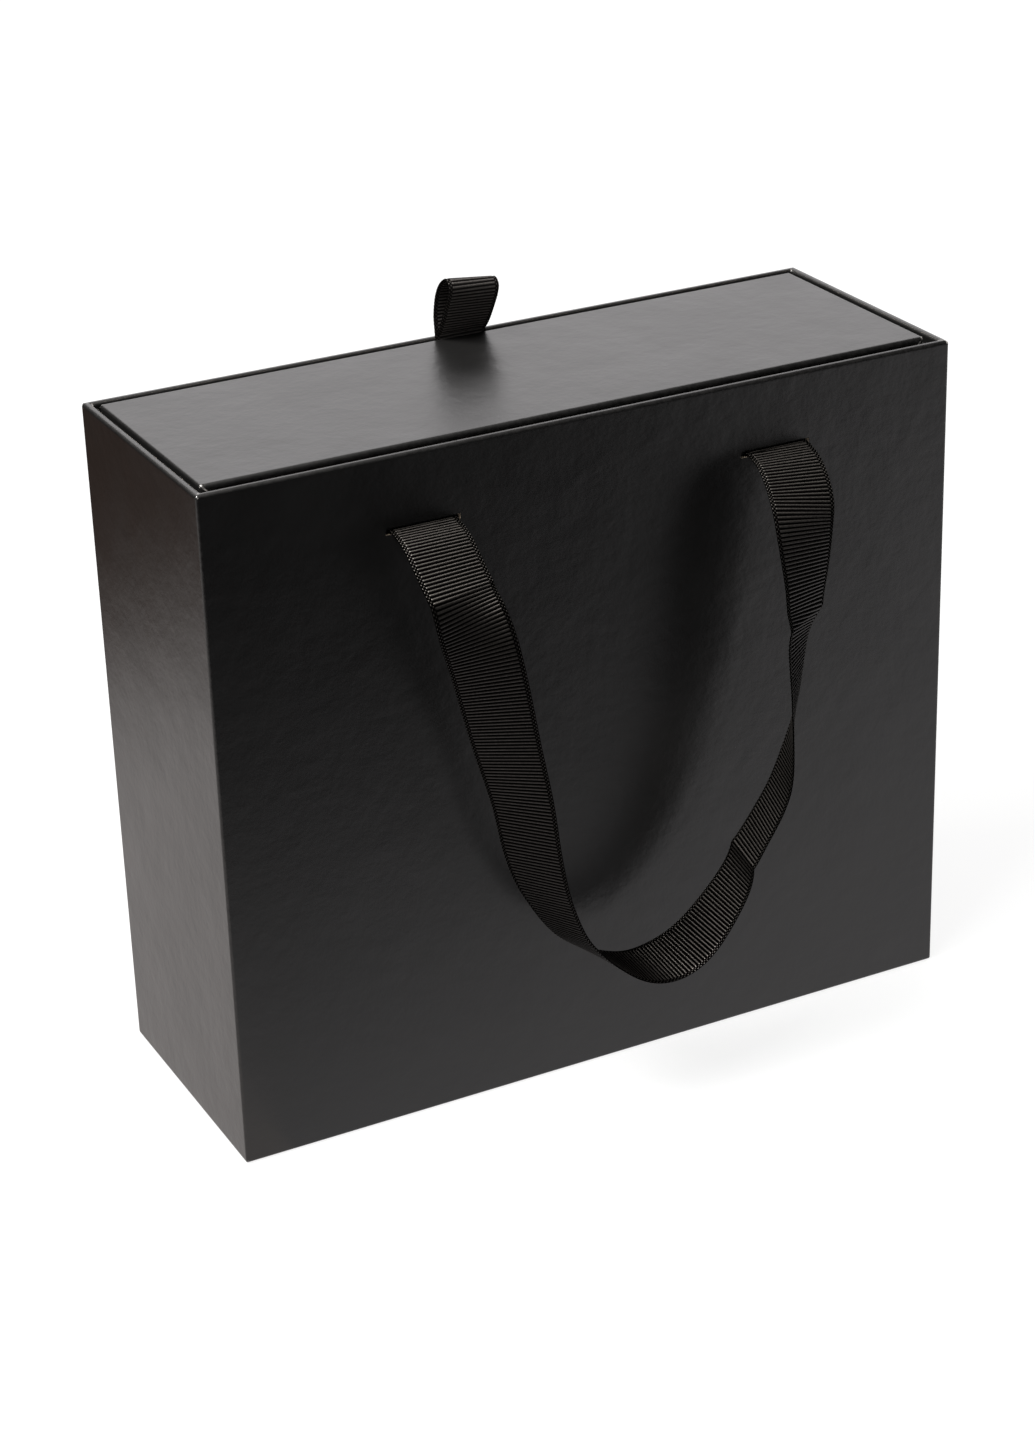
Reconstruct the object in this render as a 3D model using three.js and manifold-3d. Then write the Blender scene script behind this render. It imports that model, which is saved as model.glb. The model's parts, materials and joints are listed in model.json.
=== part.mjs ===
// Rigid gift box: an upright sleeve, open at the top, with a drawer-like tray that lifts out of it.
// A ribbon tab at the tray's back edge pulls the tray up. A ribbon handle hangs on the front and on
// the back of the sleeve. Both shells are greyboard, taped at the corners, wrapped outside in coated
// paper that turns in over the rim, and lined inside.
//
// Frame, in millimetres: origin at the middle of the footprint, on the surface the box stands on.
// +X is to the right, +Y to the back and +Z up. The front face looks along -Y.

import * as THREE from 'three';
import { mergeVertices } from 'three/addons/utils/BufferGeometryUtils.js';
import Module from 'manifold-3d';

// Overall sizes of the sleeve.
const SLEEVE_WIDTH = 230;
const SLEEVE_DEPTH = 83;
const SLEEVE_HEIGHT = 201;

// Layers of both shells.
const BOARD = 1.6;
const PAPER = 0.2;
const CORNER_TAPE = 0.12;
const GLUE = 0.05;

// Paper that is folded over an edge, and how far the lining stops short of the rim.
const TURN_IN = 15;
const TURN_UNDER = 12;
const LINING_BELOW_RIM = 3;
const BASE_PAPER_INSET = 2;
const TAPE_LEG = 14;
const TAPE_SHORT_OF_END = 4;

// How the tray sits in the sleeve.
const TRAY_PROUD = 0.7;
const TRAY_SIDE_GAP = 1.8;
const TRAY_FACE_GAP = 2.85;
const TRAY_REST_GAP = 0.1;
const TRAY_SHIFT_X = -1.1;
const TRAY_SHIFT_Y = -0.75;

// Ribbon handles and the slots that they come out of.
const RIBBON_WIDTH = 20;
const RIBBON = 0.6;
const SLOT_LENGTH = 22.3;
const SLOT_HEIGHT = 2;
const SLOT_BELOW_RIM = 21;
const SLOT_SPAN = 109;
const HANDLE_SHIFT = 3;
const TAIL_LENGTH = 27;
const TAIL_CLEARANCE = 0.05;
const TAIL_BEND = 1;

// Pull tab of the tray: a narrower ribbon, folded in a loop.
const TAB_WIDTH = 16;
const TAB_RIBBON = 0.6;
const TAB_TAIL = 25;
const TAB_TAIL_ABOVE_TRAY = 0.5;

// Space that is left between two solids of one ribbon where it bends at a joint.
const RIBBON_SPLIT = 0.5;

// How far a cut runs past the face that it opens, and how close points are to count as one.
const CUT_PAST = 1;
const WELD_DISTANCE = 1e-5;

// The handle's route, from the left slot to the right slot. Each point gives its place across the
// slots' span (-1 at the left slot, 1 at the right), how far it stands out from the face, and how far
// it hangs below the slots, then the direction from the ribbon's outer edge to its inner edge.
const HANDLE_ROUTE = [
  [-1.0, 1.0, 0.0, 1, 0, 0],
  [-1.0, 8.0, 2.2, 1, 0, 0],
  [-0.995, 15.0, 8.0, 1, 0, 0],
  [-0.98, 21.2, 15.5, 1, 0, 0],
  [-0.94, 23.6, 24.8, 0.95, -0.27, 0.12],
  [-0.89, 23.8, 36.0, 0.83, -0.5, 0.22],
  [-0.795, 22.2, 58.4, 0.68, -0.7, 0.24],
  [-0.71, 21.6, 77.7, 0.52, -0.8, 0.3],
  [-0.655, 21.6, 95.9, 0.44, -0.86, 0.24],
  [-0.58, 21.6, 109.7, 0.28, -0.92, 0.25],
  [-0.43, 22.6, 124.7, 0.03, -0.95, 0.3],
  [-0.16, 24.0, 135.7, -0.08, -0.99, 0.05],
  [0.06, 24.3, 137.4, -0.05, -0.99, -0.12],
  [0.27, 24.3, 132.2, -0.05, -0.99, -0.12],
  [0.48, 24.7, 118.5, -0.16, -0.98, -0.03],
  [0.592, 25.4, 105.8, -0.27, -0.96, 0],
  [0.712, 27.0, 93.1, -0.31, -0.95, 0],
  [0.771, 27.4, 83.2, -0.38, -0.93, -0.02],
  [0.834, 26.3, 66.1, -0.56, -0.77, 0.3],
  [0.87, 24.3, 48.1, -0.73, -0.66, 0.18],
  [0.907, 23.8, 39.4, -0.86, -0.5, 0.02],
  [0.927, 23.2, 30.2, -0.93, -0.37, 0.06],
  [0.95, 20.0, 15.5, -1, -0.1, 0.05],
  [0.98, 15.0, 8.0, -1, 0, 0],
  [1.0, 8.0, 2.4, -1, 0, 0],
  [1.01, 1.0, 0.0, -1, 0, 0],
];
// The fixed ends of the ribbon reach as far as this point from each end of the route.
const ROUTE_HINGE = 2;
const STEPS_PER_POINT = 4;
const BEND_STEPS = 5;

// The pull tab's loop, seen from its side: back from the tray's back edge, and above its top.
const TAB_PROFILE = [
  [0.37, 1.2],
  [-0.9, 2.4],
  [-3.0, 5.5],
  [-5.3, 9.8],
  [-7.4, 14.0],
  [-7.8, 16.9],
  [-5.6, 18.4],
  [-1.8, 16.1],
  [0.8, 12.0],
  [1.9, 6.4],
  [1.3, 2.5],
  [1.05, 1.2],
];

// Layer positions, each as a distance inward from a shell's outside face.
const BOARD_OUTSIDE = PAPER + GLUE + CORNER_TAPE + GLUE;
const BOARD_INSIDE = BOARD_OUTSIDE + BOARD;
const TURN_IN_OUTSIDE = BOARD_INSIDE + GLUE;
const LINING_OUTSIDE = TURN_IN_OUTSIDE + PAPER + GLUE;
const WALL = LINING_OUTSIDE + PAPER;
const RIM_FOLD = PAPER + GLUE;

const wasm = await Module();
wasm.setup();

// ---------- helpers ----------

const object = new THREE.Group();
object.name = 'gift_box';

const FINISH = {
  board: { color: 0x8d8272, roughness: 0.95, metalness: 0 },
  tape: { color: 0xb39a6f, roughness: 0.85, metalness: 0 },
  wrap: { color: 0x232224, roughness: 0.42, metalness: 0 },
  lining: { color: 0x1c1b1c, roughness: 0.8, metalness: 0 },
  ribbon: { color: 0x191715, roughness: 0.65, metalness: 0 },
};

function add(name, geometry, finish) {
  const mesh = new THREE.Mesh(geometry, new THREE.MeshStandardMaterial(FINISH[finish]));
  mesh.name = name;
  object.add(mesh);
}

function box([x0, y0, z0], [x1, y1, z1]) {
  const geometry = new THREE.BoxGeometry(x1 - x0, y1 - y0, z1 - z0);
  return geometry.translate((x0 + x1) / 2, (y0 + y1) / 2, (z0 + z1) / 2);
}

function toSolid(geometry) {
  const bare = geometry.clone();
  bare.deleteAttribute('normal');
  bare.deleteAttribute('uv');
  const merged = mergeVertices(bare, WELD_DISTANCE);
  return new wasm.Manifold(new wasm.Mesh({
    numProp: 3,
    vertProperties: new Float32Array(merged.attributes.position.array),
    triVerts: new Uint32Array(merged.index.array),
  }));
}

function toGeometry(solid) {
  const mesh = solid.getMesh();
  const geometry = new THREE.BufferGeometry();
  geometry.setAttribute('position', new THREE.BufferAttribute(new Float32Array(mesh.vertProperties), 3));
  geometry.setIndex(new THREE.BufferAttribute(new Uint32Array(mesh.triVerts), 1));
  return geometry;
}

function cut(geometry, ...cutters) {
  let solid = toSolid(geometry);
  for (const cutter of cutters) solid = solid.subtract(toSolid(cutter));
  return toGeometry(solid);
}

// A ribbon of even width and thickness: a box whose length follows frameAt(t), t from start to end.
function ribbonStrip(frameAt, start, end, steps, width, thickness) {
  const strip = new THREE.BoxGeometry(width, thickness, 1, 1, 1, steps);
  const position = strip.attributes.position;
  const vertex = new THREE.Vector3();
  for (let i = 0; i < position.count; i += 1) {
    vertex.fromBufferAttribute(position, i);
    const { centre, across, normal } = frameAt(start + (vertex.z + 0.5) * (end - start));
    const placed = centre.clone().addScaledVector(across, vertex.x).addScaledVector(normal, vertex.y);
    position.setXYZ(i, placed.x, placed.y, placed.z);
  }
  return strip;
}

// The frame along a curve: its point, the ribbon's cross direction and the normal of its outer face.
function frameAlong(curve, acrossAt) {
  return (t) => {
    const centre = curve.getPoint(t);
    const tangent = curve.getTangent(t);
    const across = acrossAt(t);
    across.addScaledVector(tangent, -across.dot(tangent)).normalize();
    return { centre, across, normal: tangent.clone().cross(across) };
  };
}

// An L of tape round an upright corner that has its outer edge at (0, 0) and runs towards +X and +Y.
function cornerTape(leg, length) {
  const outline = new THREE.Shape();
  outline.moveTo(0, 0);
  outline.lineTo(leg, 0);
  outline.lineTo(leg, CORNER_TAPE);
  outline.lineTo(CORNER_TAPE, CORNER_TAPE);
  outline.lineTo(CORNER_TAPE, leg);
  outline.lineTo(0, leg);
  outline.closePath();
  return new THREE.ExtrudeGeometry(outline, { depth: length, bevelEnabled: false });
}

// ---------- sleeve ----------

const HALF_WIDTH = SLEEVE_WIDTH / 2;
const HALF_DEPTH = SLEEVE_DEPTH / 2;
const WRAP_FOOT = PAPER + GLUE;
const BOTTOM_BOARD_FOOT = WRAP_FOOT + PAPER + GLUE;
const BOTTOM_BOARD_TOP = BOTTOM_BOARD_FOOT + BOARD;
const WALL_BOARD_TOP = SLEEVE_HEIGHT - RIM_FOLD;
const SLEEVE_FLOOR = BOTTOM_BOARD_TOP + GLUE + PAPER;
const SLOT_Z = SLEEVE_HEIGHT - SLOT_BELOW_RIM;
const RECESS_DEPTH = RIBBON + 2 * TAIL_CLEARANCE;

// A box that lies this far inside the sleeve's outside faces, between two heights.
function sleeveColumn(inset, z0, z1) {
  return box([inset - HALF_WIDTH, inset - HALF_DEPTH, z0], [HALF_WIDTH - inset, HALF_DEPTH - inset, z1]);
}

// The two ribbon slots of the front face, cut through everything between two depths.
function slotCutters(y0, y1) {
  return [-1, 1].map((side) => {
    const x = HANDLE_SHIFT + side * SLOT_SPAN / 2;
    return box(
      [x - SLOT_LENGTH / 2, y0, SLOT_Z - SLOT_HEIGHT / 2],
      [x + SLOT_LENGTH / 2, y1, SLOT_Z + SLOT_HEIGHT / 2],
    );
  });
}

// The pressed recesses in the front board's inner face that take the ribbon's glued tails.
function tailRecesses() {
  const inner = BOARD_INSIDE - HALF_DEPTH;
  return [-1, 1].map((side) => {
    const x = HANDLE_SHIFT + side * SLOT_SPAN / 2;
    return box(
      [x - SLOT_LENGTH / 2, inner - RECESS_DEPTH, SLOT_Z - TAIL_LENGTH - CUT_PAST],
      [x + SLOT_LENGTH / 2, inner + CUT_PAST, SLOT_Z + SLOT_HEIGHT / 2],
    );
  });
}

// The back of the sleeve is the front turned half round about the upright axis.
function turned(geometry) {
  return geometry.clone().rotateZ(Math.PI);
}

function addSleeveBoards() {
  const sideX = HALF_WIDTH - BOARD_OUTSIDE;
  const faceY = HALF_DEPTH - BOARD_OUTSIDE;
  const faceBoard = cut(
    box([-sideX, -faceY, BOTTOM_BOARD_FOOT], [sideX, BOARD - faceY, WALL_BOARD_TOP]),
    ...slotCutters(-faceY - CUT_PAST, BOARD - faceY + CUT_PAST),
    ...tailRecesses(),
  );
  add('sleeve_front_board', faceBoard, 'board');
  add('sleeve_back_board', turned(faceBoard), 'board');

  const sideY = faceY - BOARD - GLUE;
  const leftBoard = box([-sideX, -sideY, BOTTOM_BOARD_FOOT], [BOARD - sideX, sideY, WALL_BOARD_TOP]);
  add('sleeve_left_board', leftBoard, 'board');
  add('sleeve_right_board', turned(leftBoard), 'board');

  const bottomX = sideX - BOARD - GLUE;
  const bottomBoard = box([-bottomX, -sideY, BOTTOM_BOARD_FOOT], [bottomX, sideY, BOTTOM_BOARD_TOP]);
  add('sleeve_bottom_board', bottomBoard, 'board');
}

function addSleeveTapes() {
  const inset = PAPER + GLUE;
  const foot = BOTTOM_BOARD_FOOT + TAPE_SHORT_OF_END;
  const length = WALL_BOARD_TOP - TAPE_SHORT_OF_END - foot;
  const corners = {
    front_left: [1, 1],
    back_left: [1, -1],
    back_right: [-1, -1],
    front_right: [-1, 1],
  };
  for (const [corner, [toX, toY]] of Object.entries(corners)) {
    const quarterTurns = Object.keys(corners).indexOf(corner);
    const tape = cornerTape(TAPE_LEG, length).rotateZ(-quarterTurns * Math.PI / 2);
    tape.translate(toX * (inset - HALF_WIDTH), toY * (inset - HALF_DEPTH), foot);
    add(`sleeve_corner_tape_${corner}`, tape, 'tape');
  }
}

function addSleeveWrap() {
  const foldTop = SLEEVE_HEIGHT - PAPER;
  const boardPocket = cut(
    sleeveColumn(PAPER, WRAP_FOOT + PAPER, foldTop),
    sleeveColumn(TURN_IN_OUTSIDE, 0, SLEEVE_HEIGHT),
  );
  const wrap = cut(
    sleeveColumn(0, WRAP_FOOT, SLEEVE_HEIGHT),
    boardPocket,
    sleeveColumn(PAPER, WRAP_FOOT + PAPER, SLEEVE_HEIGHT - TURN_IN),
    sleeveColumn(TURN_IN_OUTSIDE + PAPER, SLEEVE_HEIGHT - TURN_IN - CUT_PAST, SLEEVE_HEIGHT + CUT_PAST),
    sleeveColumn(TURN_UNDER, 0, WRAP_FOOT + CUT_PAST),
    ...slotCutters(-HALF_DEPTH - CUT_PAST, CUT_PAST - HALF_DEPTH),
    ...slotCutters(-HALF_DEPTH - CUT_PAST, CUT_PAST - HALF_DEPTH).map(turned),
  );
  add('sleeve_wrap', wrap, 'wrap');
  add('sleeve_base_paper', sleeveColumn(BASE_PAPER_INSET, 0, PAPER), 'wrap');
}

function addSleeveLining() {
  const liningTop = SLEEVE_HEIGHT - LINING_BELOW_RIM;
  const sides = cut(
    sleeveColumn(LINING_OUTSIDE, SLEEVE_FLOOR + GLUE, liningTop),
    sleeveColumn(WALL, 0, SLEEVE_HEIGHT),
  );
  add('sleeve_side_lining', sides, 'lining');
  const floorLining = sleeveColumn(LINING_OUTSIDE, BOTTOM_BOARD_TOP + GLUE, SLEEVE_FLOOR);
  add('sleeve_bottom_lining', floorLining, 'lining');
}

addSleeveBoards();
addSleeveTapes();
addSleeveWrap();
addSleeveLining();

// ---------- ribbon handles ----------

const routePoints = HANDLE_ROUTE.map(([u, out, down]) => new THREE.Vector3(
  HANDLE_SHIFT + u * SLOT_SPAN / 2,
  -HALF_DEPTH - out,
  SLOT_Z - down,
));
const routeAcross = HANDLE_ROUTE.map(([, , , x, y, z]) => new THREE.Vector3(x, y, z));
const route = new THREE.CatmullRomCurve3(routePoints);
const acrossCurve = new THREE.CatmullRomCurve3(routeAcross);
const handleFrame = frameAlong(route, (t) => acrossCurve.getPoint(t));
const SPANS = HANDLE_ROUTE.length - 1;

// The fixed end of the ribbon: a glued tail that rises inside the board, turns out through the slot
// and reaches the point where the hanging loop begins.
function handleEndPoints(side) {
  const first = side < 0 ? 0 : 1;
  const exit = route.getPoint(first);
  const tailY = BOARD_INSIDE - HALF_DEPTH - RECESS_DEPTH / 2;
  const foot = new THREE.Vector3(exit.x, tailY, SLOT_Z - TAIL_LENGTH);
  const bend = new THREE.QuadraticBezierCurve3(
    new THREE.Vector3(exit.x, tailY, SLOT_Z - TAIL_BEND),
    new THREE.Vector3(exit.x, tailY, SLOT_Z),
    new THREE.Vector3(exit.x, tailY - TAIL_BEND, SLOT_Z),
  );
  const outside = [];
  const steps = ROUTE_HINGE * STEPS_PER_POINT;
  for (let i = 0; i <= steps; i += 1) {
    outside.push(route.getPoint(first - side * i / (STEPS_PER_POINT * SPANS)));
  }
  return [foot, ...bend.getPoints(BEND_STEPS), ...outside];
}

function addHandleEnd(face, name, side) {
  const points = handleEndPoints(side);
  const centreline = new THREE.CatmullRomCurve3(points);
  const frame = frameAlong(centreline, () => new THREE.Vector3(1, 0, 0));
  const strip = ribbonStrip(frame, 0, 1, points.length - 1, RIBBON_WIDTH, RIBBON);
  add(`${face}_ribbon_end_${name}`, face === 'back' ? turned(strip) : strip, 'ribbon');
}

function addHandle(face) {
  addHandleEnd(face, face === 'front' ? 'left' : 'right', -1);
  addHandleEnd(face, face === 'front' ? 'right' : 'left', 1);
  const spanLength = routePoints[ROUTE_HINGE].distanceTo(routePoints[ROUTE_HINGE + 1]);
  const start = (ROUTE_HINGE + RIBBON_SPLIT / spanLength) / SPANS;
  const steps = (SPANS - 2 * ROUTE_HINGE) * STEPS_PER_POINT;
  const loop = ribbonStrip(handleFrame, start, 1 - start, steps, RIBBON_WIDTH, RIBBON);
  add(`${face}_handle_loop`, face === 'back' ? turned(loop) : loop, 'ribbon');
}

addHandle('front');
addHandle('back');

// ---------- tray ----------

const TRAY_LEFT = TRAY_SHIFT_X - (HALF_WIDTH - WALL - TRAY_SIDE_GAP);
const TRAY_RIGHT = TRAY_SHIFT_X + (HALF_WIDTH - WALL - TRAY_SIDE_GAP);
const TRAY_FRONT = TRAY_SHIFT_Y - (HALF_DEPTH - WALL - TRAY_FACE_GAP);
const TRAY_BACK = TRAY_SHIFT_Y + (HALF_DEPTH - WALL - TRAY_FACE_GAP);
const TRAY_FOOT = SLEEVE_FLOOR + TRAY_REST_GAP;
const TRAY_TOP = SLEEVE_HEIGHT + TRAY_PROUD;
const TRAY_FLOOR_FACE = TRAY_BACK - BOARD_INSIDE;

// A box that lies this far inside the tray's four outside walls, between two depths.
function trayColumn(inset, y0, y1) {
  return box([TRAY_LEFT + inset, y0, TRAY_FOOT + inset], [TRAY_RIGHT - inset, y1, TRAY_TOP - inset]);
}

function addTrayBoards() {
  const left = TRAY_LEFT + BOARD_OUTSIDE;
  const right = TRAY_RIGHT - BOARD_OUTSIDE;
  const foot = TRAY_FOOT + BOARD_OUTSIDE;
  const top = TRAY_TOP - BOARD_OUTSIDE;
  const rim = TRAY_FRONT + RIM_FOLD;
  const wallBack = TRAY_FLOOR_FACE - GLUE;
  const sideFoot = foot + BOARD + GLUE;
  const sideTop = top - BOARD - GLUE;
  const floorBack = TRAY_FLOOR_FACE + BOARD;
  add('tray_floor_board', box([left, TRAY_FLOOR_FACE, foot], [right, floorBack, top]), 'board');
  add('tray_bottom_wall', box([left, rim, foot], [right, wallBack, foot + BOARD]), 'board');
  add('tray_top_wall', box([left, rim, top - BOARD], [right, wallBack, top]), 'board');
  add('tray_left_wall', box([left, rim, sideFoot], [left + BOARD, wallBack, sideTop]), 'board');
  add('tray_right_wall', box([right - BOARD, rim, sideFoot], [right, wallBack, sideTop]), 'board');
}

function addTrayTapes() {
  const inset = PAPER + GLUE;
  const front = TRAY_FRONT + RIM_FOLD + TAPE_SHORT_OF_END;
  const length = TRAY_BACK - BOARD_OUTSIDE - TAPE_SHORT_OF_END - front;
  const left = TRAY_LEFT + inset;
  const right = TRAY_RIGHT - inset;
  const foot = TRAY_FOOT + inset;
  const top = TRAY_TOP - inset;
  const corners = {
    bottom_left: [left, foot],
    bottom_right: [right, foot],
    top_right: [right, top],
    top_left: [left, top],
  };
  for (const [corner, [x, z]] of Object.entries(corners)) {
    const quarterTurns = Object.keys(corners).indexOf(corner);
    const tape = cornerTape(TAPE_LEG, length).rotateZ(quarterTurns * Math.PI / 2);
    tape.rotateX(Math.PI / 2);
    tape.translate(x, front + length, z);
    add(`tray_corner_tape_${corner}`, tape, 'tape');
  }
}

function addTrayPapers() {
  const pocketBack = TRAY_BACK - PAPER;
  const boardPocket = cut(
    trayColumn(PAPER, TRAY_FRONT + PAPER, pocketBack),
    trayColumn(TURN_IN_OUTSIDE, TRAY_FRONT - CUT_PAST, TRAY_BACK + CUT_PAST),
  );
  const wrap = cut(
    trayColumn(0, TRAY_FRONT, TRAY_BACK),
    boardPocket,
    trayColumn(PAPER, TRAY_FRONT + TURN_IN, pocketBack),
    trayColumn(TURN_IN_OUTSIDE + PAPER, TRAY_FRONT - CUT_PAST, TRAY_FRONT + TURN_IN + CUT_PAST),
  );
  add('tray_wrap', wrap, 'wrap');

  const liningBack = TRAY_FLOOR_FACE - GLUE;
  const lining = cut(
    trayColumn(LINING_OUTSIDE, TRAY_FRONT + LINING_BELOW_RIM, liningBack),
    trayColumn(WALL, TRAY_FRONT - CUT_PAST, liningBack - PAPER),
  );
  add('tray_lining', lining, 'lining');
}

addTrayBoards();
addTrayTapes();
addTrayPapers();

// ---------- pull tab ----------

function addPullTab() {
  const x = TRAY_SHIFT_X;
  const tailThickness = 2 * TAB_RIBBON + GLUE;
  add('pull_tab_tail', box(
    [x - TAB_WIDTH / 2, TRAY_BACK + GLUE, TRAY_TOP - TAB_TAIL],
    [x + TAB_WIDTH / 2, TRAY_BACK + GLUE + tailThickness, TRAY_TOP + TAB_TAIL_ABOVE_TRAY],
  ), 'ribbon');

  const points = TAB_PROFILE.map(([back, up]) => new THREE.Vector3(x, TRAY_BACK + back, TRAY_TOP + up));
  const frame = frameAlong(new THREE.CatmullRomCurve3(points), () => new THREE.Vector3(-1, 0, 0));
  const steps = (points.length - 1) * STEPS_PER_POINT;
  add('pull_tab_loop', ribbonStrip(frame, 0, 1, steps, TAB_WIDTH, TAB_RIBBON), 'ribbon');
}

addPullTab();

export default object;
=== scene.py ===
import json
import math

import bmesh
import bpy
import numpy as np
from mathutils import Matrix, Vector


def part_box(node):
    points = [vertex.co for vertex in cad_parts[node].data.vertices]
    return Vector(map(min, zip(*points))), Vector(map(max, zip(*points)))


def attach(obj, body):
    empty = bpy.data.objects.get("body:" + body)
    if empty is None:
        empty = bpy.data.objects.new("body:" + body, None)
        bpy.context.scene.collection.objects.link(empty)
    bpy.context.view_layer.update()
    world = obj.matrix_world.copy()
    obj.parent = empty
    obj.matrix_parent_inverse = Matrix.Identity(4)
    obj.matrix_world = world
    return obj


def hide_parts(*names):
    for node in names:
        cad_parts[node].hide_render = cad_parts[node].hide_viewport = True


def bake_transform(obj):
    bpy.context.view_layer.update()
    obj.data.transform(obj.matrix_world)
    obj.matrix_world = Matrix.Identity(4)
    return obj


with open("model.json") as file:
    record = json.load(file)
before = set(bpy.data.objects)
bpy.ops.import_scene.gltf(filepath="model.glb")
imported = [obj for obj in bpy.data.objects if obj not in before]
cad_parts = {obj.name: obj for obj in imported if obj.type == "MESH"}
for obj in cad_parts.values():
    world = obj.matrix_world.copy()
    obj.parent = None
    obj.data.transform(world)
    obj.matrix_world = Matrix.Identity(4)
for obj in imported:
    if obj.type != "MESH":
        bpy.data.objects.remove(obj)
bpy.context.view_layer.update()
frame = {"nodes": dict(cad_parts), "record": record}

MM = 0.001

# ---------- camera ----------

CAMERA_AT = (-0.3844, -0.7569, 0.4950)
CAMERA_AZIMUTH = -26.64
CAMERA_ELEVATION = 25.32
CAMERA_ROLL = 1.84
CAMERA_LENS = 80.0
CAMERA_SENSOR = 36.0


def make_camera():
    azimuth = math.radians(CAMERA_AZIMUTH)
    elevation = math.radians(CAMERA_ELEVATION)
    roll = math.radians(CAMERA_ROLL)
    ahead = Vector((
        -math.sin(azimuth) * math.cos(elevation),
        math.cos(azimuth) * math.cos(elevation),
        -math.sin(elevation),
    ))
    level_right = ahead.cross(Vector((0, 0, 1))).normalized()
    level_up = level_right.cross(ahead)
    up = level_up * math.cos(roll) + level_right * math.sin(roll)
    right = ahead.cross(up)
    data = bpy.data.cameras.new("camera")
    data.lens = CAMERA_LENS
    data.sensor_width = CAMERA_SENSOR
    data.clip_start = 0.01
    data.clip_end = 50
    camera = bpy.data.objects.new("camera", data)
    bpy.context.scene.collection.objects.link(camera)
    turn = Matrix((right, up, -ahead)).transposed().to_4x4()
    camera.matrix_world = Matrix.Translation(Vector(CAMERA_AT)) @ turn
    bpy.context.scene.camera = camera


make_camera()

# ---------- sizes, in metres ----------

PAPER = 0.2 * MM
TURN_IN_OUTSIDE = 2.07 * MM
TURN_IN = 15 * MM
TURN_UNDER = 12 * MM
SLOT_LENGTH = 22.3 * MM
SLOT_HEIGHT = 2 * MM
SLOT_BELOW_RIM = 21 * MM
SLOT_SPAN = 109 * MM
HANDLE_SHIFT = 3 * MM
TAIL_LENGTH = 27 * MM
TAIL_DEPTH = 1.67 * MM
TAIL_BEND = 1 * MM

SLEEVE_LOW, SLEEVE_HIGH = (Vector(corner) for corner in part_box("sleeve_wrap"))
TRAY_LOW, TRAY_HIGH = (Vector(corner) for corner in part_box("tray_wrap"))
FACE_Y = SLEEVE_LOW.y
SLOT_Z = SLEEVE_HIGH.z - SLOT_BELOW_RIM

# Ribbon: ribs run across it, and the woven edge has its own small stitches.
RIB_PITCH = 1.08 * MM
RIB_ROWS = 8
RIB_HEIGHT = 0.22 * MM
RIBBON_CORE = 0.2 * MM
SELVEDGE = 1.3 * MM
SELVEDGE_BLEND = 0.25 * MM
STITCH_PUSH = 0.05 * MM
STITCH_PUSH_REACH = 0.4 * MM
OUTER_STITCHES = 0.3 * MM
INNER_STITCHES = 0.85 * MM
STITCH_ROW_WIDTH = 0.2 * MM
EDGE_TAPER = 0.3 * MM
EDGE_THICKNESS_SHARE = 0.4
HANDLE_WIDTH = 20 * MM
TAB_WIDTH = 16 * MM

# The handle's route from the left slot to the right slot: place across the slots' span (-1 left,
# 1 right), millimetres out from the face and below the slots, and the direction across the ribbon.
HANDLE_ROUTE = [
    (-1.0, 1.0, 0.0, 1, 0, 0),
    (-1.0, 8.0, 2.2, 1, 0, 0),
    (-0.995, 15.0, 8.0, 1, 0, 0),
    (-0.98, 21.2, 15.5, 1, 0, 0),
    (-0.94, 23.6, 24.8, 0.95, -0.27, 0.12),
    (-0.89, 23.8, 36.0, 0.83, -0.5, 0.22),
    (-0.795, 22.2, 58.4, 0.68, -0.7, 0.24),
    (-0.71, 21.6, 77.7, 0.52, -0.8, 0.3),
    (-0.655, 21.6, 95.9, 0.44, -0.86, 0.24),
    (-0.58, 21.6, 109.7, 0.28, -0.92, 0.25),
    (-0.43, 22.6, 124.7, 0.03, -0.95, 0.3),
    (-0.16, 24.0, 135.7, -0.08, -0.99, 0.05),
    (0.06, 24.3, 137.4, -0.05, -0.99, -0.12),
    (0.27, 24.3, 132.2, -0.05, -0.99, -0.12),
    (0.48, 24.7, 118.5, -0.16, -0.98, -0.03),
    (0.592, 25.4, 105.8, -0.27, -0.96, 0),
    (0.712, 27.0, 93.1, -0.31, -0.95, 0),
    (0.771, 27.4, 83.2, -0.38, -0.93, -0.02),
    (0.834, 26.3, 66.1, -0.56, -0.77, 0.3),
    (0.87, 24.3, 48.1, -0.73, -0.66, 0.18),
    (0.907, 23.8, 39.4, -0.86, -0.5, 0.02),
    (0.927, 23.2, 30.2, -0.93, -0.37, 0.06),
    (0.95, 20.0, 15.5, -1, -0.1, 0.05),
    (0.98, 15.0, 8.0, -1, 0, 0),
    (1.0, 8.0, 2.4, -1, 0, 0),
    (1.01, 1.0, 0.0, -1, 0, 0),
]
# Soft creases in the hanging ribbon: the route row that each crosses, how far it stands out, how
# quickly it dies away, and how much further along it reaches the ribbon's inner edge.
HANDLE_CREASES = [
    (2.72, 0.8, 3.2, -0.08),
    (14.63, -1.2, 3.2, 0.0),
    (19.7, 1.0, 2.6, -0.25),
]
CREASE_ROUND = 0.3 * MM
SPAN_SAMPLES = 24
TAB_SPAN_SAMPLES = 30
HANDLE_SOFTEN_ROWS = 9
HANDLE_FIXED_ROWS = 30
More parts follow.
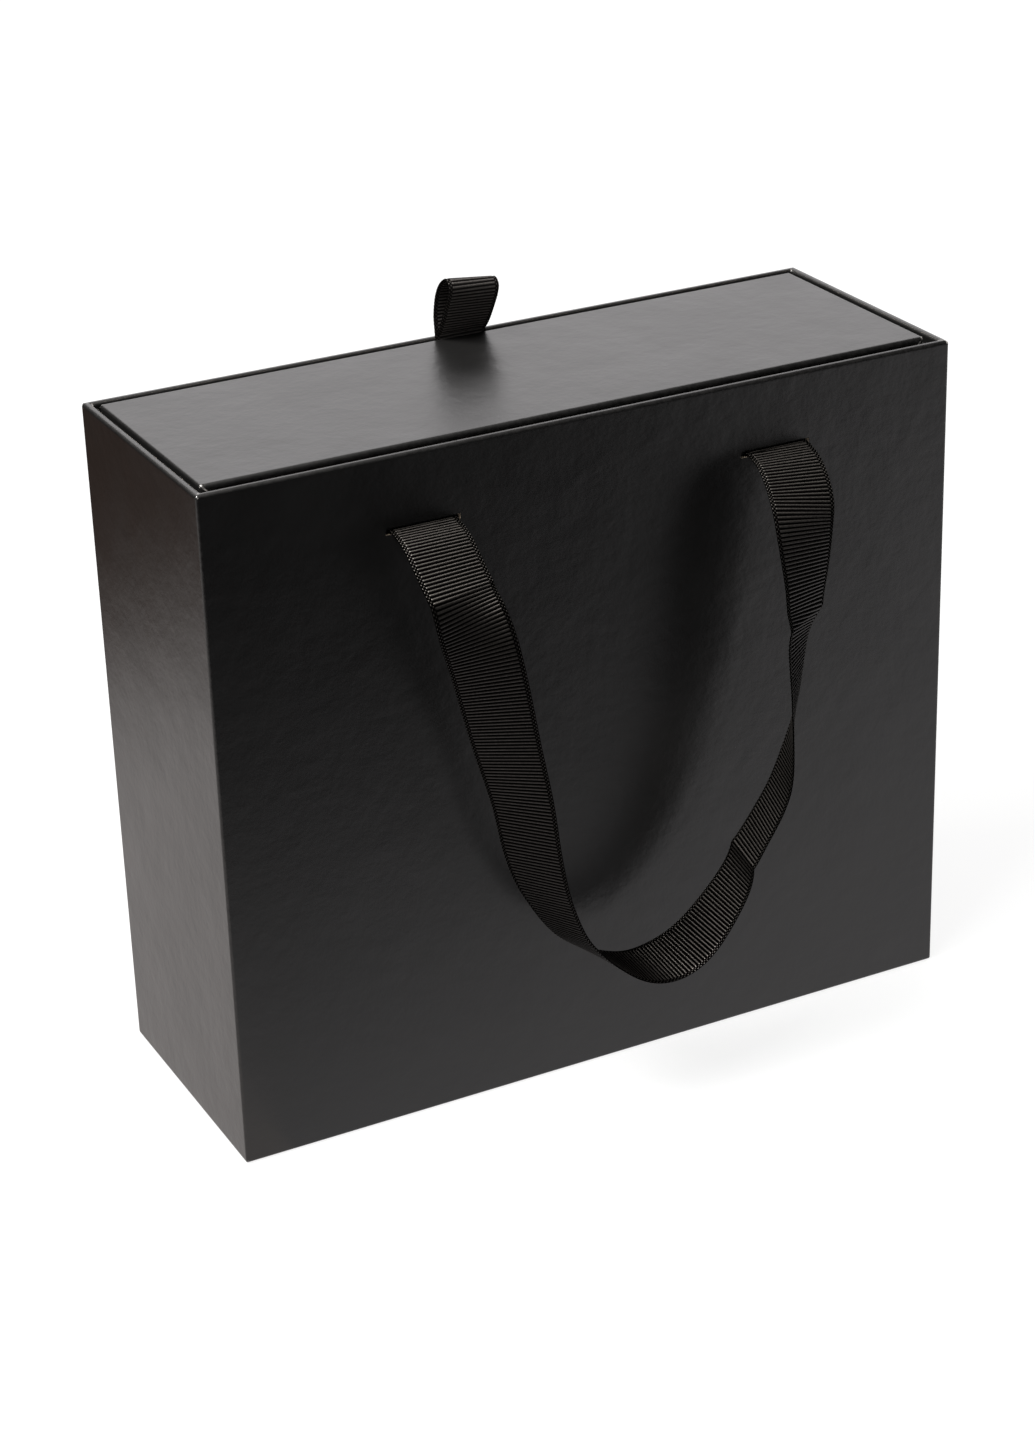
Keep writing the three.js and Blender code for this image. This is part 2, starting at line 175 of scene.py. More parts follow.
# The pull tab's loop from the side: millimetres back from the tray's back edge and above its top.
TAB_PROFILE = [
    (0.37, 1.2),
    (-0.9, 2.4),
    (-3.0, 5.5),
    (-5.3, 9.8),
    (-7.4, 14.0),
    (-7.8, 16.9),
    (-5.6, 18.4),
    (-1.8, 16.1),
    (0.8, 12.0),
    (1.9, 6.4),
    (1.3, 2.5),
    (1.05, 1.2),
]
TAB_TAIL = 25 * MM
# The tab's top drifts to the right and its ribs lean, both growing with height above the tray.
TAB_LEAN = math.radians(6.5)
TAB_LEAN_HEIGHT = 10 * MM
TAB_DRIFT = 0.8 * MM
TAB_DRIFT_HEIGHT = 18 * MM


# ---------- mesh helpers ----------

def mesh_object(name, points, faces, attributes=None, smooth_angle=40):
    mesh = bpy.data.meshes.new(name)
    mesh.from_pydata([tuple(p) for p in points], [], [tuple(f) for f in faces])
    for key, values in (attributes or {}).items():
        values = np.asarray(values, np.float32)
        kind, field = ("FLOAT", "value") if values.ndim == 1 else ("FLOAT_VECTOR", "vector")
        mesh.attributes.new(key, kind, "POINT").data.foreach_set(field, values.ravel())
    shape = bmesh.new()
    shape.from_mesh(mesh)
    bmesh.ops.recalc_face_normals(shape, faces=shape.faces)
    shape.to_mesh(mesh)
    shape.free()
    smooth(mesh, smooth_angle)
    obj = bpy.data.objects.new(name, mesh)
    bpy.context.scene.collection.objects.link(obj)
    return obj


def smooth(mesh, angle):
    mesh.polygons.foreach_set("use_smooth", [True] * len(mesh.polygons))
    mesh.set_sharp_from_angle(angle=math.radians(angle))


def catmull_rom(points, samples):
    """Points along an even Catmull-Rom curve through the given rows, samples per span."""
    rows = np.asarray(points, float)
    padded = np.vstack([2 * rows[0] - rows[1], rows, 2 * rows[-1] - rows[-2]])
    t = np.linspace(0, 1, samples, endpoint=False)[:, None]
    out = []
    for a, b, c, d in zip(padded, padded[1:], padded[2:], padded[3:]):
        out.append(0.5 * (2 * b + (c - a) * t + (2 * a - 5 * b + 4 * c - d) * t**2
                          + (3 * b - a - 3 * c + d) * t**3))
    out.append(rows[-1:])
    return np.vstack(out)


def soften(rows, width, keep_ends):
    """A running average that leaves the first and last rows where they are."""
    kernel = np.hanning(2 * width + 1)
    kernel /= kernel.sum()
    extended = np.vstack([rows[:1]] * width + [rows] + [rows[-1:]] * width)
    columns = [np.convolve(extended[:, k], kernel, "valid") for k in range(rows.shape[1])]
    averaged = np.stack(columns, 1)
    from_end = np.minimum(np.arange(len(rows)), np.arange(len(rows))[::-1])
    ramp = np.clip(from_end / keep_ends, 0, 1)[:, None]
    return rows * (1 - ramp) + averaged * ramp


def even_steps(rows, step):
    """The same path resampled at even steps of length; its first three columns are points."""
    reach = np.concatenate([[0], np.cumsum(np.linalg.norm(np.diff(rows[:, :3], axis=0), axis=1))])
    count = int(round(reach[-1] / step)) + 1
    at = np.linspace(0, reach[-1], count)
    columns = [np.interp(at, reach, rows[:, k]) for k in range(rows.shape[1])]
    return np.stack(columns, 1), at


# ---------- ribbons ----------

def ribbon_columns(width):
    """Places across the ribbon: close together in the woven edges, further apart between them."""
    half = width / 2
    edge = [half - inset * MM for inset in (0, 0.12, 0.3, 0.5, 0.7, 0.9, 1.1, 1.3, 1.6)]
    middle = np.linspace(-(half - 2.2 * MM), half - 2.2 * MM, 9)
    return np.array([-x for x in edge] + list(middle) + edge[::-1])


def ribbon(name, path, width, creases=()):
    """A grosgrain ribbon along path, whose rows hold a point and the direction across the ribbon.

    Each crease is its distance along, its height, its width and its slant."""
    rows, along = even_steps(path, RIB_PITCH / RIB_ROWS)
    centre = rows[:, :3]
    tangent = np.gradient(centre, axis=0)
    tangent /= np.linalg.norm(tangent, axis=1)[:, None]
    across = rows[:, 3:6]
    across = across - (across * tangent).sum(1)[:, None] * tangent
    across /= np.linalg.norm(across, axis=1)[:, None]
    outward = np.cross(tangent, across)

    columns = ribbon_columns(width)
    half = width / 2
    phase = 2 * math.pi * along / RIB_PITCH
    rib = (0.5 + 0.5 * np.cos(phase))**0.85
    stitch = 0.5 + 0.5 * np.cos(phase)
    inset = half - np.abs(columns)
    in_edge = np.clip((SELVEDGE - inset) / SELVEDGE_BLEND, 0, 1)
    outer_row = np.exp(-((inset - OUTER_STITCHES) / STITCH_ROW_WIDTH)**2)
    inner_row = np.exp(-((inset - INNER_STITCHES) / STITCH_ROW_WIDTH)**2)
    stitches = stitch[:, None] * outer_row + (1 - stitch[:, None]) * inner_row
    swell = rib[:, None] * (1 - in_edge) + stitches * in_edge
    taper = np.clip(inset / EDGE_TAPER, 0, 1)**0.5
    thickness_share = EDGE_THICKNESS_SHARE + (1 - EDGE_THICKNESS_SHARE) * taper
    offset = (RIBBON_CORE / 2 + RIB_HEIGHT * swell) * thickness_share
    at_edge = np.clip(1 - inset / STITCH_PUSH_REACH, 0, 1)
    reach = columns + np.sign(columns) * at_edge * STITCH_PUSH * (stitch[:, None] - 1)

    middle = centre[:, None, :] + across[:, None, :] * reach[..., None]
    for distance, height, spread, slant in creases:
        gap = np.abs(along[:, None] - distance - slant * columns[None, :])
        lift = height * np.exp(-(np.sqrt(gap**2 + CREASE_ROUND**2)) / spread)
        middle = middle + outward[:, None, :] * lift[..., None]
    upper = middle + outward[:, None, :] * offset[..., None]
    lower = middle - outward[:, None, :] * offset[..., None]
    count, n = upper.shape[:2]
    ring = np.concatenate([upper, lower[:, ::-1]], axis=1)
    m = 2 * n
    i = np.arange(count - 1)[:, None] * m
    j = np.arange(m)[None, :]
    k = (j + 1) % m
    faces = np.stack([i + j, i + k, i + m + k, i + m + j], -1).reshape(-1, 4).tolist()
    faces.append(list(range(m))[::-1])
    faces.append(list(range((count - 1) * m, count * m)))
    ring_columns = np.concatenate([columns, columns[::-1]])
    attributes = {
        "rib": np.concatenate([swell, swell[:, ::-1]], 1).ravel(),
        "along": np.repeat(along, m),
        "edge": np.tile(ring_columns / half, count),
        "across": np.tile(ring_columns, count),
        "weft": np.repeat(across, m, axis=0),
    }
    obj = mesh_object(name, ring.reshape(-1, 3), faces, attributes, smooth_angle=75)
    return obj, along[-1]


def tail_rows(exit_point, across):
    """The glued tail inside the board, from its foot up to the slot and out to the exit point."""
    tail_y = FACE_Y + TAIL_DEPTH
    turn = np.linspace(0, math.pi / 2, 7)
    arc = [(exit_point[0], tail_y - TAIL_BEND * (1 - math.cos(a)),
            SLOT_Z - TAIL_BEND * (1 - math.sin(a))) for a in turn]
    points = [(exit_point[0], tail_y, SLOT_Z - TAIL_LENGTH)] + arc
    return np.array([list(p) + list(across) for p in points])


def handle_path():
    route = np.array([
        (HANDLE_SHIFT + u * SLOT_SPAN / 2, FACE_Y - out * MM, SLOT_Z - down * MM, x, y, z)
        for u, out, down, x, y, z in HANDLE_ROUTE
    ])
    loop = soften(catmull_rom(route, SPAN_SAMPLES), HANDLE_SOFTEN_ROWS, HANDLE_FIXED_ROWS)
    start = tail_rows(loop[0, :3], loop[0, 3:])
    end = tail_rows(loop[-1, :3], loop[-1, 3:])[::-1]
    path = np.vstack([start, loop, end])
    reach = np.concatenate([[0], np.cumsum(np.linalg.norm(np.diff(path[:, :3], axis=0), axis=1))])
    creases = []
    for row, height, spread, slant in HANDLE_CREASES:
        distance = reach[len(start) + int(round(row * SPAN_SAMPLES))]
        creases.append((distance, height * MM, spread * MM, slant))
    return path, creases


def tab_path():
    x = sum(corner[0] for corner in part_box("pull_tab_loop")) / 2
    loop = [(x, TRAY_HIGH.y + back * MM, TRAY_HIGH.z + up * MM) for back, up in TAB_PROFILE]
    first = (x, loop[0][1], TRAY_HIGH.z - TAB_TAIL)
    last = (x, loop[-1][1], TRAY_HIGH.z - TAB_TAIL)
    rows = catmull_rom(np.array(loop), TAB_SPAN_SAMPLES)
    rows = np.vstack([first, rows, last])
    rows[:, 0] += TAB_DRIFT * np.clip((rows[:, 2] - TRAY_HIGH.z) / TAB_DRIFT_HEIGHT, 0, 1)
    lean = TAB_LEAN * np.clip((rows[:, 2] - TRAY_HIGH.z) / TAB_LEAN_HEIGHT, 0, 1)
    across = np.column_stack([-np.cos(lean), np.zeros(len(rows)), np.sin(lean)])
    return np.hstack([rows, across])


# ---------- folded paper shells ----------

FOLD = 0.65 * MM
RIM_OUTER_ROUND = 1.0 * MM
RIM_INNER_ROUND = 0.85 * MM
BOARD_BEVEL = 0.3 * MM
TURN_IN_CORNER_ROUND = 0.3 * MM
LEAST_CORNER_ROUND = 0.12 * MM
# Bands this far from the rim and the foot fold are paled on the wrap paper: partly real scuffing,
# partly painted highlight.
RIM_SCUFF_AND_HIGHLIGHT = 0.9 * MM
FOOT_SCUFF_AND_HIGHLIGHT = 0.7 * MM
SLOT_ROUND = 0.5 * MM
SLOT_CUTTER_DEPTH = 2 * MM
CORNER_STEPS = 5
SUPPORT = 0.35 * MM
LONG_STEPS = 22
SHORT_STEPS = 9


def rounded_loop(half_u, half_v, radius):
    """A rectangle with round corners, as points in order, with one close to each corner's end."""
    corners = [(1, 1, 0.0), (-1, 1, 0.5), (-1, -1, 1.0), (1, -1, 1.5)]
    arcs = []
    for sign_u, sign_v, start in corners:
        angles = (start + np.linspace(0, 0.5, CORNER_STEPS + 1)) * math.pi
        arcs.append(np.stack([sign_u * (half_u - radius) + radius * np.cos(angles),
                              sign_v * (half_v - radius) + radius * np.sin(angles)], 1))
    points = []
    for k, arc in enumerate(arcs):
        following = arcs[(k + 1) % 4][0]
        run = following - arc[-1]
        length = np.linalg.norm(run)
        steps = LONG_STEPS if k % 2 == 0 else SHORT_STEPS
        share = SUPPORT / length
        inner = np.linspace(share, 1 - share, steps + 1)[1:-1]
        between = np.concatenate([[share], inner, [1 - share]])
        points.extend(arc)
        points.extend(arc[-1] + run * t for t in between)
    return np.array(points)


def arc(centre, radius, start, end, steps=5):
    """(inset, height) pairs round an arc, with angles in degrees."""
    angles = np.radians(np.linspace(start, end, steps + 1))
    return [(centre[0] + radius * math.cos(a), centre[1] + radius * math.sin(a)) for a in angles]


def straight(start, end, steps):
    """(inset, height) pairs on a straight run, close together beside both ends."""
    start, end = np.array(start), np.array(end)
    share = SUPPORT / np.linalg.norm(end - start)
    shares = np.concatenate([[share], np.linspace(share, 1 - share, steps + 1)[1:-1], [1 - share]])
    return [tuple(start + (end - start) * t) for t in shares]


def paper_section(length, closed_foot):
    """The paper's section: (inset, height) pairs from the foot's outside, over the rim and back."""
    fold, rim_out, rim_in = FOLD, RIM_OUTER_ROUND, RIM_INNER_ROUND
    lip = TURN_IN_OUTSIDE + PAPER
    foot_inset = fold + SUPPORT if closed_foot else TURN_UNDER
    outside = [(foot_inset, 0)] + arc((fold, fold), fold, 270, 180)
    outside += straight((0, fold), (0, length - rim_out), 16)
    outside += arc((rim_out, length - rim_out), rim_out, 180, 90)
    outside += arc((lip - rim_in, length - rim_in), rim_in, 90, 0)
    outside += straight((lip, length - rim_in), (lip, length - TURN_IN), 4)
    outside += [(lip, length - TURN_IN)]
    inner_in = rim_in - PAPER
    inside = [(TURN_IN_OUTSIDE, length - TURN_IN)]
    inside += arc((lip - rim_in, length - rim_in), inner_in, 0, 90)
    inside += arc((rim_out, length - rim_out), rim_out - PAPER, 90, 180)
    inside += arc((fold, fold), fold - PAPER, 180, 270)
    inside += [(foot_inset, PAPER)]
    return outside, inside


def paper_shell(name, half_u, half_v, length, place, closed_foot=False):
    """Wrapping paper folded round a box: up its sides, over the rim and down inside."""
    outside, inside = paper_section(length, closed_foot)
    section = outside + inside
    loops, scuff_and_highlight = [], []
    for index, (inset, height) in enumerate(section):
        radius = max(FOLD - inset, LEAST_CORNER_ROUND)
        if inset > TURN_IN_OUTSIDE - PAPER and height > 5 * MM:
            radius = TURN_IN_CORNER_ROUND
        loops.append(place(rounded_loop(half_u - inset, half_v - inset, radius), height))
        # Outside rows in these bands, and the outside corners, get an edge value that the wrap
        # paper pales: partly real scuffing, partly painted highlight on the folds and corners.
        at_fold = height > length - RIM_SCUFF_AND_HIGHLIGHT or height < FOOT_SCUFF_AND_HIGHLIGHT
        scuff_and_highlight.append(1.0 if index < len(outside) and at_fold else 0.0)
    loops = np.array(loops)
    count, m = loops.shape[:2]
    at_corner = np.zeros(m)
    position = 0
    for k in range(4):
        at_corner[position:position + CORNER_STEPS + 1] = 1
        position += CORNER_STEPS + 1 + (LONG_STEPS if k % 2 == 0 else SHORT_STEPS) + 1
    outer = (np.arange(count) < len(outside))[:, None]
    edge = 0.5 * (np.array(scuff_and_highlight)[:, None] + at_corner[None, :] * outer)
    spans = range(count - 1) if closed_foot else range(count)
    faces = []
    for i in spans:
        a, b = i * m, (i + 1) % count * m
        for j in range(m):
            k = (j + 1) % m
            faces.append((a + j, a + k, b + k, b + j))
    if closed_foot:
        faces.append(tuple(range(m))[::-1])
        faces.append(tuple(range((count - 1) * m, count * m)))
    return mesh_object(name, loops.reshape(-1, 3), faces, {"edge": edge.ravel()})


def cut_slots(wrap):
    """Cuts the four ribbon slots through the wrap's front and back faces."""
    shape = bmesh.new()
    for turn in (1, -1):
        for side in (-1, 1):
            x = turn * (HANDLE_SHIFT + side * SLOT_SPAN / 2)
            size = Matrix.Diagonal((SLOT_LENGTH, SLOT_CUTTER_DEPTH, SLOT_HEIGHT, 1))
            spot = Matrix.Translation((x, turn * FACE_Y, SLOT_Z))
            bmesh.ops.create_cube(shape, size=1, matrix=spot @ size)
    through = [e for e in shape.edges if abs(e.verts[0].co.y - e.verts[1].co.y) > MM]
    bmesh.ops.bevel(shape, geom=through, offset=SLOT_ROUND, segments=4, affect="EDGES", profile=0.5)
    mesh = bpy.data.meshes.new("slot_cutters")
    shape.to_mesh(mesh)
    shape.free()
    cutter = bpy.data.objects.new("slot_cutters", mesh)
    bpy.context.scene.collection.objects.link(cutter)
    modifier = wrap.modifiers.new("slots", "BOOLEAN")
    modifier.operation = "DIFFERENCE"
    modifier.solver = "EXACT"
    modifier.object = cutter
    depsgraph = bpy.context.evaluated_depsgraph_get()
    cut = bpy.data.meshes.new_from_object(wrap.evaluated_get(depsgraph))
    wrap.modifiers.clear()
    wrap.data = cut
    smooth(cut, 40)
    bpy.data.objects.remove(cutter)


# ---------- materials ----------

class Shader:
    """A material's node tree, with short calls to add nodes and join them."""

    def __init__(self, name):
        self.material = bpy.data.materials.new(name)
        self.material.use_nodes = True
        self.tree = self.material.node_tree
        self.principled = self.tree.nodes["Principled BSDF"]

    def add(self, kind, inputs=None, **settings):
        node = self.tree.nodes.new(kind)
        for key, value in settings.items():
            setattr(node, key, value)
        for key, value in (inputs or {}).items():
            self.join(value, node.inputs[key])
        return node

    def join(self, value, socket):
        if isinstance(value, bpy.types.NodeSocket):
            self.tree.links.new(value, socket)
        else:
            socket.default_value = value

    def set(self, **values):
        for key, value in values.items():
            self.join(value, self.principled.inputs[key.replace("_", " ")])

    def position(self):
        return self.add("ShaderNodeTexCoord").outputs["Object"]

    def attribute(self, name):
        return self.add("ShaderNodeAttribute", attribute_name=name).outputs["Fac"]

    def noise(self, scale, detail=3.0, roughness=0.5, vector=None):
        inputs = {"Scale": scale, "Detail": detail, "Roughness": roughness,
                  "Vector": vector or self.position()}
        return self.add("ShaderNodeTexNoise", inputs).outputs["Fac"]

    def math(self, operation, a, b):
        return self.add("ShaderNodeMath", {0: a, 1: b}, operation=operation).outputs[0]

    def spread(self, value, low, high, low_in=0.0, high_in=1.0):
        inputs = {"Value": value, "From Min": low_in, "From Max": high_in,
                  "To Min": low, "To Max": high}
        return self.add("ShaderNodeMapRange", inputs).outputs["Result"]

    def blend(self, factor, a, b):
        node = self.add("ShaderNodeMix", data_type="RGBA")
        self.join(factor, node.inputs["Factor"])
        self.join((*a, 1) if isinstance(a, tuple) else a, node.inputs[6])
        self.join((*b, 1) if isinstance(b, tuple) else b, node.inputs[7])
        return node.outputs[2]

    def bump(self, height, distance, normal=None):
        inputs = {"Strength": 1.0, "Distance": distance, "Height": height}
        if normal is not None:
            inputs["Normal"] = normal
        return self.add("ShaderNodeBump", inputs).outputs["Normal"]


def wrap_paper():
    """Black laminated paper: satin, finely pebbled, its folds and corners paler: partly real
    scuffing, partly painted highlight.
    """
    s = Shader("black_wrap_paper")
    edge = s.attribute("edge")
    patchy = s.spread(s.noise(700, 4), 0, 1, 0.4, 0.6)
    # Painted highlight along the folds and corners, mixed with real rubbing: the edge value lifts
    # the base colour tenfold.
    rubbed_and_highlight = s.math("MULTIPLY", s.spread(edge, 0, 0.6, 0.3, 0.6), patchy)
    # Paler still where fold meets corner: real scuffed paper, partly a painted glint.
    worn_and_glint = s.math("MULTIPLY", s.spread(edge, 0, 1, 0.6, 0.95), patchy)
    body = s.blend(rubbed_and_highlight, (0.0012, 0.0011, 0.0011), (0.012, 0.011, 0.0105))
    s.set(Base_Color=s.blend(worn_and_glint, body, (0.35, 0.33, 0.31)))
    s.set(Roughness=s.spread(s.noise(45, 2), 0.335, 0.365, 0.3, 0.7), IOR=1.52)
    pebble = s.bump(s.noise(650, 3, 0.5), 0.03 * MM)
    wrinkle = s.bump(s.noise(230, 3, 0.55), 0.11 * MM, pebble)
    s.set(Normal=s.bump(s.noise(60, 2), 0.25 * MM, wrinkle))
    return s.material


def lining_paper():
    """Uncoated black paper with a faint fibre."""
    s = Shader("black_lining_paper")
    fibre = s.noise(1400, 5, 0.65)
    s.set(Base_Color=s.blend(fibre, (0.008, 0.0075, 0.008), (0.02, 0.019, 0.02)))
    s.set(Roughness=s.spread(fibre, 0.7, 0.92), IOR=1.45)
    s.set(Normal=s.bump(fibre, 0.02 * MM))
    return s.material


def greyboard():
    """Raw recycled board: warm grey with short fibres and specks."""
    s = Shader("greyboard")
    fibre = s.noise(1200, 6, 0.7)
    speck = s.spread(s.noise(2600, 2), 0, 1, 0.62, 0.7)
    board = s.blend(fibre, (0.2, 0.16, 0.12), (0.42, 0.35, 0.27))
    s.set(Base_Color=s.blend(speck, board, (0.09, 0.07, 0.06)))
    s.set(Roughness=0.95, Normal=s.bump(fibre, 0.06 * MM))
    return s.material


def kraft_tape():
    """Brown gummed paper tape."""
    s = Shader("kraft_tape")
    fibre = s.noise(900, 5, 0.6)
    s.set(Base_Color=s.blend(fibre, (0.3, 0.19, 0.1), (0.46, 0.32, 0.19)))
    s.set(Roughness=0.8, Normal=s.bump(fibre, 0.02 * MM))
    return s.material


# How finely the ribbon's yarns vary, per metre across it and along it.
YARNS_ACROSS = 3200.0
YARNS_ALONG = 420.0


def grosgrain(name, darkest, lightest):
    """Black polyester grosgrain: shiny ribs, painted shade between them, fine yarns, a paler woven
    edge.
    """
    s = Shader(name)
    rib = s.attribute("rib")
    place = s.add("ShaderNodeCombineXYZ", {
        "X": s.math("MULTIPLY", s.attribute("across"), YARNS_ACROSS),
        "Y": s.math("MULTIPLY", s.attribute("along"), YARNS_ALONG),
    })
    threads = s.noise(1.0, 2, 0.5, place.outputs[0])
    groove_painted_shade = tuple(0.2 * c for c in darkest)
    face = s.blend(threads, darkest, lightest)
    from_middle = s.math("ABSOLUTE", s.attribute("edge"), 0.0)
    edge = s.spread(from_middle, 0, 1, 0.9, 1.0)
    top = s.blend(edge, face, (0.02, 0.0185, 0.017))
    # The base colour falls to a fifth between the ribs: painted shade in the hollows.
    s.set(Base_Color=s.blend(s.spread(rib, 0, 1, 0.3, 0.9), groove_painted_shade, top))
    s.set(Roughness=s.spread(rib, 0.8, 0.42, 0.1, 0.7), IOR=1.55)
    weft = s.add("ShaderNodeAttribute", attribute_name="weft").outputs["Vector"]
    s.set(Anisotropic=0.6, Tangent=weft)
    rib_shine = s.spread(rib, 0.0, 0.42, 0.4, 0.95)
    shine = s.math("MULTIPLY", rib_shine, s.spread(threads, 0.7, 1.3, 0.3, 0.7))
    s.set(Specular_IOR_Level=shine, Specular_Tint=(1.0, 0.93, 0.87, 1))
    s.set(Normal=s.bump(threads, 0.012 * MM))
    return s.material


MATERIALS = {
    "black_wrap_paper": wrap_paper(),
    "black_lining_paper": lining_paper(),
    "greyboard": greyboard(),
    "kraft_tape": kraft_tape(),
    "black_ribbon": grosgrain(
        "black_ribbon", darkest=(0.0022, 0.0020, 0.0018), lightest=(0.0042, 0.0037, 0.0033)),
    # The tab's copy of the same black ribbon, near ten times paler: painted light on the tab's
    # face.
    "tab_ribbon_painted_light": grosgrain(
        "tab_ribbon_painted_light", darkest=(0.02, 0.018, 0.0172), lightest=(0.034, 0.031, 0.029)),
}


def finish_with(obj, slot, look=None):
    """Gives a piece the material named by slot, or another material named by look."""
    obj.data.materials.clear()
    obj.data.materials.append(MATERIALS[look or slot])


# ---------- build ----------

def make_sleeve_wrap():
    half_x = (SLEEVE_HIGH.x - SLEEVE_LOW.x) / 2
    half_y = (SLEEVE_HIGH.y - SLEEVE_LOW.y) / 2
    foot = SLEEVE_LOW.z

    def place(loop, height):
        return np.column_stack([loop, np.full(len(loop), foot + height)])

    wrap = paper_shell("sleeve_wrap_paper", half_x, half_y, SLEEVE_HIGH.z - foot, place)
    cut_slots(wrap)
    finish_with(wrap, "black_wrap_paper")
    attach(wrap, "sleeve")
    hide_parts("sleeve_wrap")


def make_tray_wrap():
    middle = (TRAY_LOW + TRAY_HIGH) / 2
    half_x = (TRAY_HIGH.x - TRAY_LOW.x) / 2
    half_z = (TRAY_HIGH.z - TRAY_LOW.z) / 2

    def place(loop, height):
        depth = np.full(len(loop), TRAY_HIGH.y - height)
        return np.column_stack([middle.x + loop[:, 0], depth, middle.z + loop[:, 1]])

    depth = TRAY_HIGH.y - TRAY_LOW.y
    wrap = paper_shell("tray_wrap_paper", half_x, half_z, depth, place, closed_foot=True)
    finish_with(wrap, "black_wrap_paper")
    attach(wrap, "tray")
    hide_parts("tray_wrap")


def make_handle(face):
    path, creases = handle_path()
    turn = 1 if face == "front" else -1
    path[:, [0, 1, 3, 4]] *= turn
    band, length = ribbon(f"{face}_handle_ribbon", path, HANDLE_WIDTH, creases)
    finish_with(band, "black_ribbon")
    joints = frame["record"]["behaviour"]["joints"]
    joint = next(j for j in joints if j["name"] == f"{face}_handle_lift")
    hinge = Vector(joint["pos_m"])
    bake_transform(band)
    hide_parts(f"{face}_ribbon_end_left", f"{face}_ribbon_end_right", f"{face}_handle_loop")


def make_pull_tab():
    band, length = ribbon("pull_tab_ribbon", tab_path(), TAB_WIDTH)
    # The tab gets the paler copy of the ribbon: painted light.
    finish_with(band, "black_ribbon", look="tab_ribbon_painted_light")
    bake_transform(band)
    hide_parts("pull_tab_tail", "pull_tab_loop")


def dress_cad_nodes():
    """Gives every CAD node its material, and each board slightly crushed edges."""
    slots = {part["node"]: part["material_slot"] for part in frame["record"]["subparts"]}
    for name, obj in frame["nodes"].items():
        obj.data.materials.clear()
        obj.data.materials.append(MATERIALS[slots[name]])
        if slots[name] == "greyboard":
            bevel = obj.modifiers.new("crushed_edges", "BEVEL")
            bevel.width = BOARD_BEVEL
            bevel.segments = 2


make_sleeve_wrap()
make_tray_wrap()
make_handle("front")
make_handle("back")
make_pull_tab()
dress_cad_nodes()


# ---------- stage and light ----------

FLOOR_REACH = 6
FLOOR_HEIGHT = -0.1 * MM
SIDE_CARD_HEIGHT = -0.2 * MM
FRONT_CARD_HEIGHT = -0.3 * MM
DIFFUSE_WORLD = 0.75
GLOSSY_WORLD = 0.02


def stage_plane(name, low, high, height, material):
    corners = [(low[0], low[1], height), (high[0], low[1], height),
               (high[0], high[1], height), (low[0], high[1], height)]
    plane = mesh_object(name, corners, [(0, 1, 2, 3)])
    plane.data.materials.append(material)
    return plane


def floor_material():
    """A near-white floor that gives off most of its own light, so shadows on it stay faint."""
    s = Shader("pale_floor")
    s.set(Base_Color=(0.16, 0.16, 0.158, 1), Roughness=0.9)
    s.set(Emission_Color=(1, 1, 1, 1), Emission_Strength=0.82)
    return s.material


def glow_material(name, bright, dim, edges):
    """A card that only reflections see: bright, with a soft-edged dim part beyond every edge.

    Each edge is the direction that points into the bright part, and the places along it where the
    card is fully bright and fully dim."""
    s = Shader(name)
    dark = None
    for direction, bright_at, dim_at in edges:
        inputs = {0: s.position(), 1: (*direction, 0)}
        place = s.add("ShaderNodeVectorMath", inputs, operation="DOT_PRODUCT")
        inputs = {"Value": place.outputs["Value"], "From Min": bright_at, "From Max": dim_at}
        level = s.add("ShaderNodeMapRange", inputs, interpolation_type="SMOOTHSTEP").outputs[0]
        dark = level if dark is None else s.math("MULTIPLY", dark, level)
    s.set(Base_Color=(0, 0, 0, 1), Specular_IOR_Level=0.0)
    s.set(Emission_Color=s.blend(dark, bright, dim), Emission_Strength=1.0)
    return s.material


def reflected_card(name, low, high, height, material):
    """A lit card under the box that only its glossy papers and ribbons mirror."""
    card = stage_plane(name, low, high, height, material)
    card.visible_camera = False
    card.visible_diffuse = False
    card.visible_shadow = False


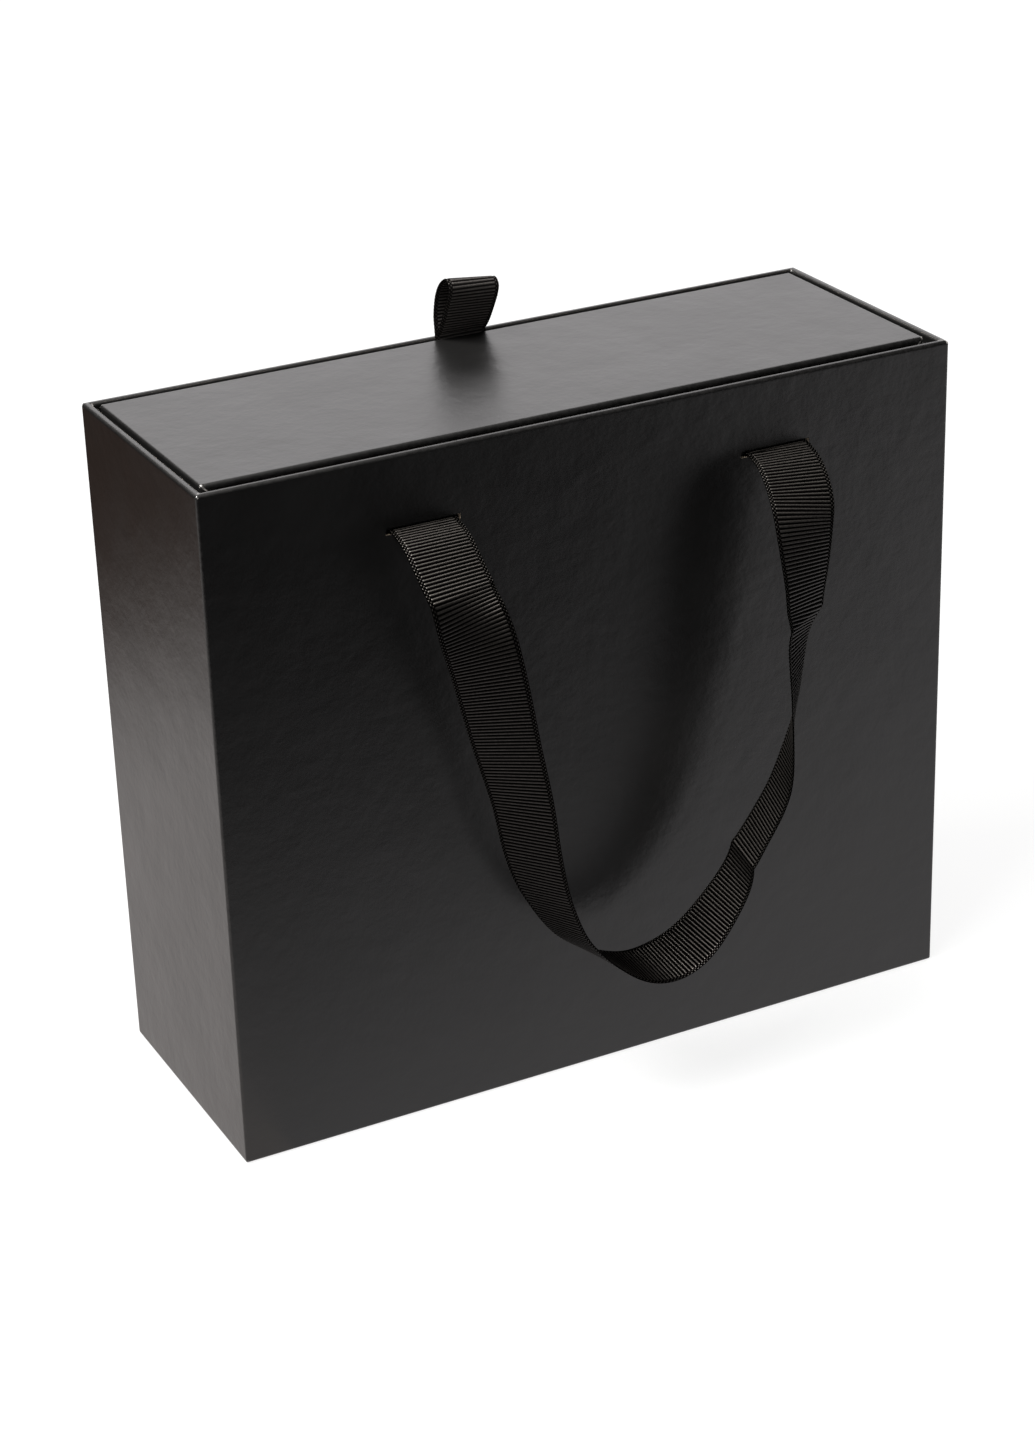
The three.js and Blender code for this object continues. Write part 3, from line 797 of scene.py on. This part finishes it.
def make_stage():
    reach = FLOOR_REACH
    floor = stage_plane("floor", (-reach, -reach), (reach, reach), FLOOR_HEIGHT, floor_material())
    floor.visible_glossy = False
    front_edges = [((0.363, 0.932), 0.0, -0.36), ((0.794, 0.607), 0.04, -0.08)]
    front = glow_material("front_table", (0.96, 0.935, 0.945), (0.0, 0.0, 0.0), front_edges)
    reflected_card("front_table", (-0.6, -1.0), (0.9, 0.0), FRONT_CARD_HEIGHT, front)
    side_edges = [((0, -1), -0.2, -0.4)]
    side = glow_material("side_table", (0.99, 0.93, 0.91), (0.085, 0.045, 0.03), side_edges)
    reflected_card("side_table", (-1.2, -0.3), (-0.1, 0.8), SIDE_CARD_HEIGHT, side)


def area_light(name, location, target, size, power, color=(1, 1, 1)):
    data = bpy.data.lights.new(name, "AREA")
    data.shape = "RECTANGLE"
    data.size, data.size_y = size
    data.energy = power
    data.color = color
    light = bpy.data.objects.new(name, data)
    bpy.context.scene.collection.objects.link(light)
    light.location = location
    light.rotation_euler = (Vector(target) - Vector(location)).to_track_quat("-Z", "Y").to_euler()
    return light


def make_lights():
    """Two soft boxes, and a strip that lights only what is shiny, for the ribbons' upper ribs."""
    area_light("top_softbox", location=(-0.6, -0.28, 1.15), target=(0, -0.03, 0.1),
               size=(0.45, 0.45), power=14)
    sheen = area_light("ribbon_highlight", location=(-0.5, 0, 1.05), target=(0, -0.05, 0.1),
                       size=(0.5, 0.2), power=80, color=(1, 0.97, 0.93))
    sheen.visible_diffuse = False
    area_light("back_softbox", location=(0.75, 1.45, 0.95), target=(0, 0, 0.2),
               size=(2.0, 1.3), power=13.4, color=(1.0, 0.975, 0.985))


def make_world():
    """An even pale surround that glossy rays see as almost black."""
    world = bpy.data.worlds.new("studio")
    bpy.context.scene.world = world
    world.use_nodes = True
    tree = world.node_tree
    background = tree.nodes["Background"]
    path = tree.nodes.new("ShaderNodeLightPath")
    level = tree.nodes.new("ShaderNodeMapRange")
    level.inputs["To Min"].default_value = DIFFUSE_WORLD
    level.inputs["To Max"].default_value = GLOSSY_WORLD
    tree.links.new(path.outputs["Is Glossy Ray"], level.inputs["Value"])
    background.inputs["Color"].default_value = (1, 1, 1, 1)
    tree.links.new(level.outputs["Result"], background.inputs["Strength"])


make_stage()
make_lights()
make_world()
bpy.context.scene.view_settings.view_transform = "Standard"
